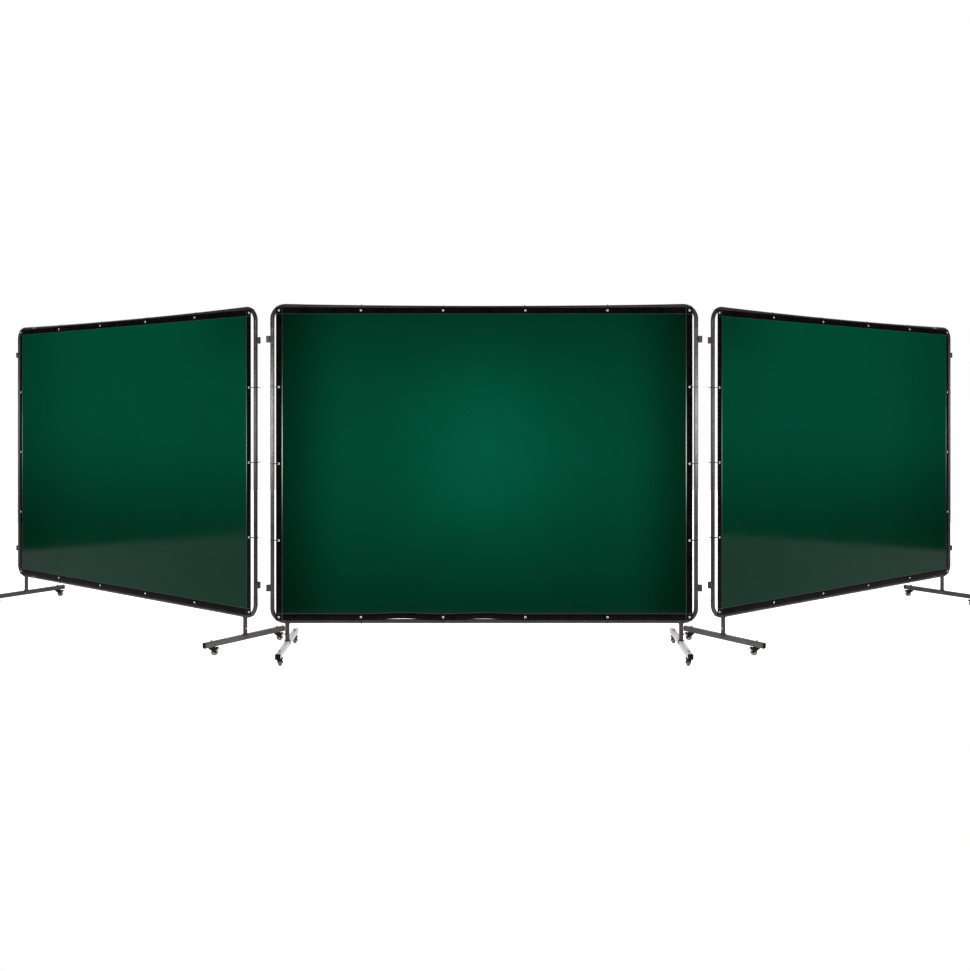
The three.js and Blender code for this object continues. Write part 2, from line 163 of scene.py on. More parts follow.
# ------------------------------------------------------------------ shapes
class Shape:
    """Faces collected in one mesh, each part with its own finish."""

    def __init__(self, *finishes):
        self.finishes = finishes
        self.verts, self.faces, self.slots = [], [], []

    def add(self, verts, faces, finish=0, at=None):
        start = len(self.verts)
        self.verts += [at @ Vector(v) if at else Vector(v) for v in verts]
        self.faces += [[start + i for i in face] for face in faces]
        self.slots += [finish] * len(faces)
        return self

    def rows(self, rows, finish=0, at=None, ring=True, closed=False):
        """Skins rows of points. ring joins each row's ends, closed joins the last row to the first."""
        wide = len(rows[0])
        verts = [p for row in rows for p in row]
        faces = []
        for i in range(len(rows) if closed else len(rows) - 1):
            a, b = i * wide, (i + 1) % len(rows) * wide
            for j in range(wide if ring else wide - 1):
                k = (j + 1) % wide
                faces.append((a + j, a + k, b + k, b + j))
        if ring and not closed:
            faces.append(tuple(range(wide))[::-1])
            faces.append(tuple(len(verts) - wide + j for j in range(wide)))
        return self.add(verts, faces, finish, at)

    def lathe(self, profile, sides, finish=0, at=None, closed=False):
        """Turns (radius, height) points round Z."""
        rows = [
            [(r * math.cos(a), r * math.sin(a), h) for a in turns(sides)] for r, h in profile
        ]
        return self.rows(rows, finish, at, closed=closed)

    def sweep(self, points, sections, side, finish=0, closed=False, at=None):
        """Carries (side, up) sections along points. side is square to the path's plane."""
        rows, last = [], len(points) - 1
        for i, p in enumerate(points):
            before = points[i - 1] if i or closed else p
            after = points[(i + 1) % len(points)] if i < last or closed else p
            up = (after - before).normalized().cross(side)
            section = sections if isinstance(sections[0], tuple) else sections[i]
            rows.append([p + side * u + up * v for u, v in section])
        return self.rows(rows, finish, at, closed=closed)

    def extrude(self, outline, y_low, y_high, bevel, finish=0, at=None):
        """A plate: an (x, z) outline carried along Y, with rounded edges."""
        bm = bmesh.new()
        face = bm.faces.new([bm.verts.new((x, y_low, z)) for x, z in outline])
        grown = bmesh.ops.extrude_face_region(bm, geom=[face])["geom"]
        moved = [g for g in grown if isinstance(g, bmesh.types.BMVert)]
        bmesh.ops.translate(bm, verts=moved, vec=(0, y_high - y_low, 0))
        bmesh.ops.recalc_face_normals(bm, faces=bm.faces)
        rims = [e for e in bm.edges if abs(e.verts[0].co.y - e.verts[1].co.y) < 1e-7]
        bmesh.ops.bevel(bm, geom=rims, offset=bevel, segments=2, profile=0.5, affect="EDGES")
        bm.verts.index_update()
        faces = [[v.index for v in f.verts] for f in bm.faces]
        self.add([v.co.copy() for v in bm.verts], faces, finish, at)
        bm.free()
        return self

    def piece(self, name, at, body, slot, *nodes):
        """The object, in place, riding on its body and standing for the CAD nodes."""
        mesh = bpy.data.meshes.new(name)
        mesh.from_pydata(self.verts, [], self.faces)
        for finish in self.finishes:
            mesh.materials.append(finish)
        for polygon, finish in zip(mesh.polygons, self.slots):
            polygon.material_index = finish
            polygon.use_smooth = True
        bm = bmesh.new()
        bm.from_mesh(mesh)
        bmesh.ops.remove_doubles(bm, verts=bm.verts, dist=1e-6)
        bmesh.ops.dissolve_degenerate(bm, dist=1e-7, edges=bm.edges)
        bmesh.ops.recalc_face_normals(bm, faces=bm.faces)
        bm.to_mesh(mesh)
        bm.free()
        mesh.set_sharp_from_angle(angle=math.radians(38))
        made = bpy.data.objects.new(name, mesh)
        bpy.context.scene.collection.objects.link(made)
        made.matrix_world = at
        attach(made, body)
        if nodes:
            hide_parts(*nodes)
        return made


def turns(sides):
    return [2 * math.pi * i / sides for i in range(sides)]


def circle(radius, sides=32):
    return [(radius * math.cos(a), radius * math.sin(a)) for a in turns(sides)]


def rounded(width, height, corner, steps=4):
    """A rectangle with round corners, centred."""
    points = []
    for i, (sx, sy) in enumerate(((1, 1), (-1, 1), (-1, -1), (1, -1))):
        for j in range(steps + 1):
            a = math.pi / 2 * (i + j / steps)
            x = sx * (width / 2 - corner) + corner * math.cos(a)
            points.append((x, sy * (height / 2 - corner) + corner * math.sin(a)))
    return points


def hull(points):
    """The convex outline of (x, z) points, anticlockwise."""
    points = sorted(set((round(x, 7), round(z, 7)) for x, z in points))

    def half(row):
        out = []
        for p in row:
            while len(out) > 1 and (
                (out[-1][0] - out[-2][0]) * (p[1] - out[-2][1])
                - (out[-1][1] - out[-2][1]) * (p[0] - out[-2][0])
            ) <= 1e-12:
                out.pop()
            out.append(p)
        return out[:-1]

    return half(points) + half(points[::-1])


def reach(outline, middle, angle):
    """How far a convex outline goes from a point inside it, at that angle."""
    dx, dz = math.cos(angle), math.sin(angle)
    best = math.inf
    for (x0, z0), (x1, z1) in zip(outline, outline[1:] + outline[:1]):
        ex, ez = x1 - x0, z1 - z0
        facing = dx * ez - dz * ex
        if facing > 1e-12:
            best = min(best, ((x0 - middle[0]) * ez - (z0 - middle[1]) * ex) / facing)
    return best


def merged(outlines, middle, count=90):
    """The outline round several convex ones that all hold the middle point."""
    points = []
    for a in turns(count):
        far = max(reach(outline, middle, a) for outline in outlines)
        points.append((middle[0] + far * math.cos(a), middle[1] + far * math.sin(a)))
    return points


def evenly(points, count):
    """Points spread evenly round a closed outline."""
    loop = points + points[:1]
    steps = [math.dist(a, b) for a, b in zip(loop, loop[1:])]
    total, out = sum(steps), []
    for i in range(count):
        want, k = total * i / count, 0
        while want > steps[k]:
            want -= steps[k]
            k += 1
        t = want / steps[k]
        (x0, z0), (x1, z1) = loop[k], loop[k + 1]
        out.append((x0 + (x1 - x0) * t, z0 + (z1 - z0) * t))
    return out


def bead(shape, points, radius, side, finish=0, closed=False, at=None):
    """A weld bead with its ripples."""
    sections = []
    for i in range(len(points)):
        ripple = 1 + 0.16 * math.sin(i * 2.4)
        end = 1 if closed else min(1, 0.45 + 0.3 * min(i, len(points) - 1 - i))
        sections.append(circle(radius * ripple * end, 10))
    shape.sweep(points, sections, side, finish, closed, at)


# ------------------------------------------------------------------ materials
class Nodes:
    """One material's nodes."""

    def __init__(self, name, **shader):
        self.material = bpy.data.materials.new(name)
        self.material.use_nodes = True
        self.tree = self.material.node_tree
        self.shader = self.tree.nodes["Principled BSDF"]
        for socket, value in shader.items():
            self.shader.inputs[socket.replace("_", " ")].default_value = value
        self.coords = self.tree.nodes.new("ShaderNodeTexCoord").outputs["Object"]

    def node(self, kind, inputs=(), **settings):
        made = self.tree.nodes.new("ShaderNode" + kind)
        for key, value in settings.items():
            setattr(made, key, value)
        for socket, value in dict(inputs).items():
            if isinstance(value, bpy.types.NodeSocket):
                self.tree.links.new(value, made.inputs[socket])
            else:
                made.inputs[socket].default_value = value
        return made

    def math(self, operation, *values):
        made = self.node("Math", operation=operation)
        for i, value in enumerate(values):
            if isinstance(value, bpy.types.NodeSocket):
                self.tree.links.new(value, made.inputs[i])
            else:
                made.inputs[i].default_value = value
        return made.outputs[0]

    def noise(self, scale, detail=3, roughness=0.5, coords=None):
        inputs = {"Vector": coords or self.coords, "Scale": scale, "Detail": detail}
        inputs["Roughness"] = roughness
        return self.node("TexNoise", inputs).outputs["Fac"]

    def spread(self, value, low, high, to_low=0.0, to_high=1.0, smooth=False):
        inputs = {"Value": value, "From Min": low, "From Max": high}
        inputs |= {"To Min": to_low, "To Max": to_high}
        kind = "SMOOTHSTEP" if smooth else "LINEAR"
        return self.node("MapRange", inputs, interpolation_type=kind).outputs["Result"]

    def mix(self, factor, a, b):
        made = self.node("Mix", data_type="RGBA")
        for index, value in ((0, factor), (6, a), (7, b)):
            if isinstance(value, bpy.types.NodeSocket):
                self.tree.links.new(value, made.inputs[index])
            elif index:
                made.inputs[index].default_value = (*value, 1)
            else:
                made.inputs[index].default_value = value
        return made.outputs[2]

    def join(self, value, socket):
        self.tree.links.new(value, self.shader.inputs[socket])

    def bump(self, height, strength, distance):
        inputs = {"Height": height, "Strength": strength, "Distance": distance}
        self.join(self.node("Bump", inputs).outputs["Normal"], "Normal")


def finish(name, dark, light, scale, rough, grain, relief, wear=None, **shader):
    """Two tones in patches, uneven roughness and a fine grain, with worn edges if wear is a colour."""
    made = Nodes(name, **shader)
    patches = made.spread(made.noise(scale), 0.3, 0.7)
    colour = made.mix(patches, dark, light)
    if wear:
        edges = made.node("NewGeometry").outputs["Pointiness"]
        scuffs = made.spread(made.noise(scale * 9, 5), 0.52, 0.7)
        worn = made.math("MULTIPLY", made.spread(edges, 0.6, 0.75), scuffs)
        colour = made.mix(worn, colour, wear)
    made.join(colour, "Base Color")
    made.join(made.spread(made.noise(scale * 2.3), 0.3, 0.7, *rough), "Roughness")
    made.bump(made.noise(grain, 2), 0.35, relief)
    return made.material


def vinyl(name, painted_glow_at):
    """Glossy green vinyl. Its second argument gives the green, with a painted glow of light, from the
    object's own x and z.
    """
    made = Nodes(name, IOR=1.45, Specular_IOR_Level=0.3)
    apart = made.node("SeparateXYZ", {"Vector": made.coords})
    green_with_painted_glow = painted_glow_at(made, apart.outputs["X"], apart.outputs["Z"])
    cloud = made.spread(made.noise(2.2, 2), 0.3, 0.7, 0.97, 1.03)
    green_with_painted_glow = made.math("MULTIPLY", green_with_painted_glow, cloud)
    joined = made.node("CombineColor", {"Red": 0.0, "Green": green_with_painted_glow})
    made.tree.links.new(made.math("MULTIPLY", green_with_painted_glow, 0.47), joined.inputs["Blue"])
    made.join(joined.outputs["Color"], "Base Color")
    made.join(made.spread(made.noise(5, 4), 0.3, 0.7, 0.07, 0.12), "Roughness")
    peel = made.noise(260, 2)
    made.bump(peel, 0.08, 0.15 * MM)
    return made.material


def bell(made, *terms):
    """1 where each value is at its middle, fading with its width. terms are (value, middle, width)."""
    fall = 0.0
    for value, middle, width in terms:
        off = made.math("DIVIDE", made.math("SUBTRACT", value, middle), width)
        fall = made.math("ADD", made.math("MULTIPLY", off, off), fall)
    return made.math("EXPONENT", made.math("MULTIPLY", fall, -1.0))


def centre_painted_glow(made, x, z):
    """A painted glow of light, brightest in the middle, darker to the sides, the top and the bottom."""
    wide = made.math("MULTIPLY", bell(made, (z, 1.25, 1.04)), 0.0584)
    sides = made.spread(made.math("ABSOLUTE", x), 0.8, 1.2, 1.0, 0.40, smooth=True)
    spot = made.math("MULTIPLY", bell(made, (x, 0.0, 0.42), (z, 1.2, 0.5)), 0.0301)
    return made.math("ADD", made.math("MULTIPLY", wide, sides), spot)


def outer_painted_glow(side):
    """An outer screen's painted glow and shade, darker below and towards the middle screen. side is -1 or 1.
    """

    def green_with_painted_glow(made, x, z):
        rise = made.spread(z, 0.45, 1.45, 0.0245, 0.0628, smooth=True)
        inwards = made.math("MULTIPLY", x, float(-side))
        near = made.spread(inwards, 0.2, 1.22, 1.0, 0.93, smooth=True)
        far = made.spread(inwards, -1.22, -0.3, 0.74, 1.0, smooth=True)
        # Painted shade in the top corner next to the middle screen.
        corner = made.math(
            "MULTIPLY",
            made.spread(inwards, 0.5, 1.2, smooth=True),
            made.spread(z, 1.6, 2.0, 0.0, -0.3, smooth=True),
        )
        ends = made.math("MULTIPLY", near, far)
        return made.math("MULTIPLY", made.math("MULTIPLY", rise, ends), made.math("ADD", corner, 1.0))

    return green_with_painted_glow


# Each screen's vinyl is its own copy, with its own painted glow and shade.
CURTAIN = {
    "centre_screen": vinyl("green_vinyl_centre", centre_painted_glow),
    "left_screen": vinyl("green_vinyl_left", outer_painted_glow(-1)),
    "right_screen": vinyl("green_vinyl_right", outer_painted_glow(1)),
}
HEM = finish(
    "hem_vinyl", (0.002, 0.0015, 0.0015), (0.005, 0.004, 0.004), 14, (0.16, 0.3), 420, 0.2 * MM,
    Specular_IOR_Level=0.1,
)
SEAM = finish("seam_weld", (0.014, 0.028, 0.021), (0.030, 0.048, 0.038), 30, (0.3, 0.5), 700, 0.3 * MM)


def side_seam_with_painted_highlight(name, pale):
    """The seam weld of a side hem, with a painted highlight that makes it pale about the middle of its
    height.
    """
    made = Nodes(name)
    z = made.node("SeparateXYZ", {"Vector": made.coords}).outputs["Z"]
    patches = made.spread(made.noise(30), 0.3, 0.7)
    dark = made.mix(patches, (0.014, 0.028, 0.021), (0.030, 0.048, 0.038))
    # Painted highlight: the seam goes pale about the middle of its height.
    made.join(made.mix(bell(made, (z, 1.22, 0.28)), dark, pale), "Base Color")
    made.join(made.spread(made.noise(69), 0.3, 0.7, 0.3, 0.5), "Roughness")
    made.bump(made.noise(700, 2), 0.35, 0.3 * MM)
    return made.material


# The pale colours are painted highlights, brightest on the middle screen.
SIDE_SEAM_PAINTED_HIGHLIGHT = {
    "centre_screen": side_seam_with_painted_highlight("side_seam_centre", (0.66, 0.72, 0.65)),
    "left_screen": side_seam_with_painted_highlight("side_seam_left", (0.24, 0.38, 0.30)),
    "right_screen": side_seam_with_painted_highlight("side_seam_right", (0.24, 0.38, 0.30)),
}
POWDER = finish(
    "black_powder_coat", (0.026, 0.020, 0.022), (0.042, 0.034, 0.037), 10, (0.14, 0.25), 900, 0.06 * MM,
    wear=(0.13, 0.12, 0.12), Specular_IOR_Level=1.0,
)
WELD = finish(
    "painted_weld", (0.016, 0.014, 0.014), (0.040, 0.035, 0.034), 120, (0.3, 0.55), 1500, 0.3 * MM
)
# Three copies of one bar coat in different lightness: the pale copy is a painted highlight, the dark copy is
# painted shade.
BAR_GREY = finish(
    "grey_powder_coat", (0.066, 0.060, 0.058), (0.100, 0.091, 0.087), 16, (0.28, 0.42), 900, 0.12 * MM,
    wear=(0.26, 0.25, 0.24), Specular_IOR_Level=0.6,
)
BAR_PAINTED_SHADE = finish(
    "dark_powder_coat", (0.034, 0.032, 0.032), (0.054, 0.050, 0.050), 16, (0.28, 0.42), 900, 0.12 * MM,
    wear=(0.2, 0.19, 0.19), Specular_IOR_Level=0.6,
)
BAR_PAINTED_HIGHLIGHT = finish(
    "pale_powder_coat", (0.62, 0.58, 0.60), (0.78, 0.74, 0.75), 16, (0.25, 0.4), 900, 0.12 * MM,
    wear=(0.3, 0.29, 0.29), Specular_IOR_Level=0.7,
)
CAP = finish(
    "black_cap_plastic", (0.003, 0.003, 0.003), (0.008, 0.008, 0.008), 40, (0.45, 0.65), 1800, 0.15 * MM,
    Specular_IOR_Level=0.2,
)
ZINC = finish(
    "zinc_plate", (0.36, 0.36, 0.37), (0.62, 0.61, 0.60), 180, (0.22, 0.42), 2400, 0.08 * MM, Metallic=0.5
)
SILVER = finish(
    "grommet_metal", (0.86, 0.86, 0.86), (0.97, 0.97, 0.96), 160, (0.2, 0.36), 2000, 0.05 * MM, Metallic=0.1
)
STEEL = finish(
    "black_steel", (0.010, 0.010, 0.010), (0.035, 0.034, 0.033), 150, (0.3, 0.5), 2200, 0.08 * MM,
    Metallic=0.5,
)
TIE = finish("tie_nylon", (0.006, 0.006, 0.006), (0.014, 0.013, 0.013), 60, (0.3, 0.45), 1500, 0.08 * MM)
FORK = finish(
    "fork_plastic", (0.004, 0.004, 0.0035), (0.013, 0.013, 0.012), 60, (0.4, 0.6), 1500, 0.12 * MM,
    wear=(0.05, 0.05, 0.05), Specular_IOR_Level=0.25,
)
TREAD = finish("tread_rubber", (0.070, 0.068, 0.064), (0.13, 0.126, 0.12), 90, (0.5, 0.75), 1200, 0.2 * MM)
HUB = finish("hub_plastic", (0.42, 0.42, 0.40), (0.60, 0.60, 0.57), 70, (0.35, 0.5), 1600, 0.1 * MM)
ARM = finish(
    "brake_steel", (0.10, 0.10, 0.095), (0.20, 0.196, 0.186), 110, (0.3, 0.5), 1900, 0.1 * MM, Metallic=0.4
)


# ------------------------------------------------------------------ frame tubes
def rail(end):
    """The rail's centreline points and sections, from one post to the other."""
    towards = 1 if end == "bottom" else -1
    z, sag = rail_z[end], RAIL_SAG if end == "top" else 0
    bend_x = post_x - CORNER_RADIUS
    elbow_x = post_x + TUBE_RADIUS - ELBOW_REACH
    swollen = TUBE_RADIUS + ELBOW_SWELL
    tip = joint_z[end] - towards * 0.3 * MM

    def line(x):
        return z - sag * (1 - min(1, abs(x) / bend_x) ** 2)

    left = [(-post_x, tip, swollen - 0.8 * MM), (-post_x, tip - towards * 0.8 * MM, swollen)]
    for i in range(19):
        a = math.pi / 2 * i / 18
        x = -bend_x - CORNER_RADIUS * math.cos(a)
        left.append((x, z + towards * CORNER_RADIUS * (1 - math.sin(a)), swollen))
    for x, radius in ((0.9, swollen), (0.3, swollen), (0, TUBE_RADIUS - 0.9 * MM), (-1.2, TUBE_RADIUS)):
        place = -elbow_x - x * MM
        left.append((place, line(place), radius))
    for i in range(1, 16):
        place = -elbow_x * (1 - i / 16)
        left.append((place, line(place), TUBE_RADIUS))
    whole = left + [(0, line(0), TUBE_RADIUS)] + [(-x, h, r) for x, h, r in left[::-1]]
    return [Vector((x, 0, h)) for x, h, _ in whole], [circle(r) for *_, r in whole]


def post(side):
    low, high = joint_z["bottom"] + 0.3 * MM, joint_z["top"] - 0.3 * MM
    chamfer = 0.7 * MM
    profile = [(TUBE_RADIUS - chamfer, low), (TUBE_RADIUS, low + chamfer)]
    profile += [(TUBE_RADIUS, high - chamfer), (TUBE_RADIUS - chamfer, high)]
    made = Shape(POWDER, WELD).lathe(profile, 32)
    for middle in (frame_bottom + SLEEVE_SETBACK, frame_top - SLEEVE_SETBACK):
        at = Matrix.Translation((side * SLEEVE_REACH, 0, middle))
        half, edge = SLEEVE_HEIGHT / 2, 0.6 * MM
        ring = [(SLEEVE_BORE, -half + edge), (SLEEVE_BORE + edge, -half), (TUBE_RADIUS - edge, -half)]
        ring += [(TUBE_RADIUS, -half + edge)]
        ring += [(r, -h) for r, h in ring[::-1]]
        made.lathe(ring, 28, at=at, closed=True)
        for y in (-3.4, 3.4):
            x = side * SLEEVE_REACH / 2
            count = 22
            line = [Vector((x, y * MM, middle + half * (1.7 * i / count - 0.85))) for i in range(count + 1)]
            bead(made, line, 2.3 * MM, Vector((0, 1, 0)), 1)
    return made


def leg(made, x):
    """A leg under the bottom rail, with the weld round its top."""
    low = socket_top + 0.3 * MM
    chamfer = 0.7 * MM
    profile = [(TUBE_RADIUS - chamfer, low), (TUBE_RADIUS, low + chamfer), (TUBE_RADIUS, rail_z["bottom"])]
    at = Matrix.Translation((x, 0, 0))
    made.lathe(profile, 32, at=at)
    ring = []
    for a in turns(40):
        out = TUBE_RADIUS + 0.6 * MM
        drop = math.sqrt(max(0, TUBE_RADIUS**2 - (TUBE_RADIUS * math.sin(a)) ** 2))
        ring.append(Vector((out * math.cos(a), out * math.sin(a), rail_z["bottom"] - drop - 1 * MM)))
    bead(made, ring, 2 * MM, UP, 1, closed=True, at=at)


# ------------------------------------------------------------------ curtain
def sway(x, z, seed):
    """How far the curtain bows forward. It never comes back to the tubes."""
    flow = noise.noise(Vector((x * 1.1, z * 0.7, seed * 7.3)))
    flow += 0.4 * noise.noise(Vector((x * 3.1, z * 1.3, seed * 3.1 + 11)))
    return -CURTAIN_WAVE * (0.5 + 0.5 * max(-1, min(1, flow)))


def hang(x, z, seed):
    """The height a point of the cut sheet hangs at. The lower edge bows up between its grommets."""
    x_end = CURTAIN_WIDTH / 2 - GROMMET_INSET
    along = (x + x_end) / (2 * x_end) * (GROMMETS_ACROSS - 1)
    bay = math.floor(along)
    if not 0 <= bay < GROMMETS_ACROSS - 1:
        return z
    bow = LOWER_EDGE_BOWS[seed][bay] * MM * math.sin(math.pi * (along - bay)) ** 2
    return z + bow * max(0, 1 - (z - curtain_low) / 0.3) ** 2


def sheet(seed):
    """The cut sheet: a thin closed slab that follows the sway."""
    made = Shape(CURTAIN[SCREENS[seed]])
    wide, tall = 80, 60
    rows = []
    for j in range(tall + 1):
        z = curtain_low + CURTAIN_HEIGHT * j / tall
        xs = [CURTAIN_WIDTH * (i / wide - 0.5) for i in range(wide + 1)]
        back = [(x, curtain_y + sway(x, z, seed) + CURTAIN_THICKNESS / 2, hang(x, z, seed)) for x in xs]
        front = [(x, y - CURTAIN_THICKNESS, z) for x, y, z in back]
        rows.append(front + back[::-1])
    count = 2 * (wide + 1)
    verts = [p for row in rows for p in row]
    faces = []
    for j in range(tall):
        for i in range(count):
            k = (i + 1) % count
            a, b = j * count, (j + 1) * count
            faces.append((a + i, a + k, b + k, b + i))
    for start in (0, tall * count):
        for i in range(wide):
            a, b = start + i, start + count - 1 - i
            faces.append((a, a + 1, b - 1, b))
    return made.add(verts, faces)


def band(made, corners, layer, seed, finish=0, closed=True):
    """A flat strip lying on both faces of the sheet, through (outer, inner) pairs of corners."""
    steps = 48
    section = [(0, 0.5), (0.03, 1), (0.5, 1), (0.97, 1), (1, 0.6)]  # (share of the width, lift)
    section += [(share, -lift) for share, lift in section[::-1]]
    rows = []
    count = len(corners) if closed else len(corners) - 1
    for i in range(count):
        (o0, n0), (o1, n1) = corners[i], corners[(i + 1) % len(corners)]
        for j in range(steps if closed or i < count - 1 else steps + 1):
            t = j / steps
            outer = (o0[0] + (o1[0] - o0[0]) * t, o0[1] + (o1[1] - o0[1]) * t)
            inner = (n0[0] + (n1[0] - n0[0]) * t, n0[1] + (n1[1] - n0[1]) * t)
            half = CURTAIN_THICKNESS / 2 + layer
            row = []
            for share, lift in section:
                x = outer[0] + (inner[0] - outer[0]) * share
                z = outer[1] + (inner[1] - outer[1]) * share
                row.append((x, curtain_y + sway(x, z, seed) - half * lift, hang(x, z, seed)))
            rows.append(row)
    made.rows(rows, finish, closed=closed)


def hem(seed):
    made = Shape(HEM)
    half, low, high = CURTAIN_WIDTH / 2 + 0.4 * MM, curtain_low - 0.4 * MM, curtain_high + 0.4 * MM
    w = HEM_WIDTH
    corners = [
        ((-half, low), (-half + w, low + w)),
        ((half, low), (half - w, low + w)),
        ((half, high), (half - w, high - w)),
        ((-half, high), (-half + w, high - w)),
    ]
    band(made, corners, HEM_LAYER, seed)
    return made


def seams(seed):
    """The hem's inner seams, which run on to the curtain's edges and cross in its corners."""
    made = Shape(SEAM, SIDE_SEAM_PAINTED_HIGHLIGHT[SCREENS[seed]])
    half, w = CURTAIN_WIDTH / 2, SEAM_WIDTH
    inset = HEM_WIDTH - 1 * MM
    for z, side in ((curtain_low + inset, 1), (curtain_high - inset, -1)):
        ends = [((x, z), (x, z + side * w)) for x in (-half, half)]
        band(made, ends, HEM_LAYER + SEAM_LAYER, seed, closed=False)
    for x, side in ((-half + inset, 1), (half - inset, -1)):
        ends = [((x, z), (x + side * w, z)) for z in (curtain_low, curtain_high)]
        band(made, ends, HEM_LAYER + SEAM_LAYER * 0.8, seed, 1, closed=False)
    return made


def grommet_places():
    """(x, z) of each grommet, with the nearest point on the tubes' centreline."""
    x_end = CURTAIN_WIDTH / 2 - GROMMET_INSET
    z_low, z_high = curtain_low + GROMMET_INSET, curtain_high - GROMMET_INSET
    bend_x = post_x - CORNER_RADIUS
    places = []
    for i in range(GROMMETS_ACROSS):
        x = x_end * (2 * i / (GROMMETS_ACROSS - 1) - 1)
        for z, end, towards in ((z_low, "bottom", 1), (z_high, "top", -1)):
            if 0 < i < GROMMETS_ACROSS - 1:
                sag = RAIL_SAG * (1 - (x / bend_x) ** 2) if end == "top" else 0
                places.append(((x, z), (x, rail_z[end] - sag)))
            else:
                sx = 1 if x > 0 else -1
                middle = Vector((sx * bend_x, rail_z[end] + towards * CORNER_RADIUS))
                out = (Vector((x, z)) - middle).normalized() * CORNER_RADIUS
                places.append(((x, z), tuple(middle + out)))
    for i in range(1, GROMMETS_DOWN - 1):
        z = z_low + (z_high - z_low) * i / (GROMMETS_DOWN - 1)
        places += [((x, z), (math.copysign(post_x, x), z)) for x in (-x_end, x_end)]
    return places


def grommets(seed):
    made = Shape(SILVER)
    for (x, z), _ in grommet_places():
        y = curtain_y + sway(x, z, seed)
        turn = Matrix.Rotation(math.pi / 2, 4, "X")
        at = Matrix.Translation((x, y, z)) @ turn
        ring = [(2.6, 0.4), (2.9, 1.2), (3.6, 1.7), (4.9, 1.6), (6.0, 1.1), (6.3, 0.6)]
        ring = ring + [(r, -h) for r, h in ring[::-1]]
        made.lathe([(r * MM, h * MM) for r, h in ring], 28, at=at, closed=True)
    return made


def ties(seed):
    """A zip tie through each grommet and round the tube, its head behind and its cut tail standing off."""
    made = Shape(TIE)
    rng = random.Random(40 + seed)
    strap = rounded(3.2 * MM, 1.1 * MM, 0.4 * MM, 2)
    for grommet, tube in grommet_places():
        g, t = Vector((grommet[0], 0, grommet[1])), Vector((tube[0], 0, tube[1]))
        y = curtain_y + sway(*grommet, seed)
        along = (g - t).normalized()
        away = (g - t).length
        ring = circle(TUBE_RADIUS + ELBOW_SWELL + 0.9 * MM, 24)
        ring += [(away + 1.1 * MM * math.cos(a), y + 2.9 * MM * math.sin(a)) for a in turns(8)]
        loop = evenly(hull(ring), 40)
        points = [t + along * u + Vector((0, v, 0)) for u, v in loop]
        side = along.cross(Vector((0, 1, 0))).normalized()
        made.sweep(points, strap, side, closed=True)
        swing = math.radians(rng.uniform(95, 150)) * rng.choice((-1, 1))
        out = along * math.cos(swing) + Vector((0, abs(math.sin(swing)), 0))
        start = t + out * (TUBE_RADIUS + 2.6 * MM)
        head = [start + out * (k * MM) for k in (-2.2, -1.6, 1.6, 2.2)]
        sizes = [rounded(s * 5 * MM, s * 4.6 * MM, 0.9 * MM, 2) for s in (0.82, 1, 1, 0.82)]
        made.sweep(head, sizes, side)
        lean = (out + 0.7 * side * rng.uniform(-1, 1)).normalized()
        long = rng.uniform(9, 17) * MM
        tail = [start + lean * long * k / 4 + out * (k * k * 0.05 * MM) for k in range(5)]
        made.sweep(tail, strap, side)
    return made


# ------------------------------------------------------------------ feet
def saddle_outline():
    """The (x, z) section of the strap bent over the bar under the socket."""
    wide, plate = BAR_SIZE / 2, 1.5 * MM
    low = bar_top - SADDLE_DROP
    half = [(wide - 0.2 * MM, bar_top - 0.2 * MM), (wide - 0.2 * MM, low)]
    half += [(wide + plate, low), (wide + plate, bar_top + plate)]
    return half + [(-x, z) for x, z in half[::-1]]


def foot_base(finish_of_bar, side):
    """The base bar with its socket, welded on, and the socket's bolt on the outer side."""
    made = Shape(finish_of_bar, WELD, ZINC, POWDER)
    half = BAR_LENGTH / 2 - 0.5 * MM
    z = bar_bottom + BAR_SIZE / 2
    ends = [Vector((0, y, z)) for y in (-half, half)]
    made.sweep(ends, rounded(BAR_SIZE, BAR_SIZE, 3 * MM, 5), Vector((1, 0, 0)))
    inner = TUBE_RADIUS - TUBE_WALL
    edge = 0.5 * MM
    wall = [(inner, bar_top - 1 * MM), (inner, socket_top - edge), (inner + edge, socket_top)]
    wall += [(TUBE_RADIUS - edge, socket_top), (TUBE_RADIUS, socket_top - edge)]
    wall += [(TUBE_RADIUS, bar_top - 1 * MM)]
    made.lathe(wall, 32, 3, closed=True)
    made.extrude(saddle_outline(), -TUBE_RADIUS, TUBE_RADIUS, 0.4 * MM, 3)
    ring = [Vector((x, y, bar_top + 1.9 * MM)) for x, y in circle(13.2 * MM, 44)]
    bead(made, ring, 2.2 * MM, UP, 1, closed=True)
    turn = Matrix.Rotation(math.pi / 2 * side, 4, "Y")
    at = Matrix.Translation((side * (TUBE_RADIUS - 0.6 * MM), 0, socket_top - 12 * MM)) @ turn
    made.lathe([(0.1, 0), (6.2, 0), (6.2, 1.2), (5.8, 1.5), (0.1, 1.5)], 24, 2, at_scaled(at))
    head = [(0.1, 1.4), (5.1, 1.4), (5.5, 2.0), (5.5, 5.0), (4.7, 5.8), (0.1, 6.1)]
    made.lathe(head, 6, 2, at_scaled(at))
    return made


def at_scaled(at):
    """For shapes given in millimetres."""
    return at @ Matrix.Scale(MM, 4)


def foot_caps():
    made = Shape(CAP)
    z = bar_bottom + BAR_SIZE / 2
    end, long = BAR_LENGTH / 2 + CAP_OVERHANG, CAP_LENGTH / MM
    # (millimetres in from the outer face, share of the full size)
    steps = ((0, 0.80), (0.5, 0.90), (1.6, 0.97), (3.2, 1), (long - 1.2, 1), (long, 0.94))
    for side in (-1, 1):
        points = [Vector((0, side * (end - y * MM), z)) for y, _ in steps]
        sections = [rounded(CAP_SIZE * s, CAP_SIZE * s, 4.5 * MM * s, 5) for _, s in steps]
        made.sweep(points, sections, Vector((1, 0, 0)))
    return made


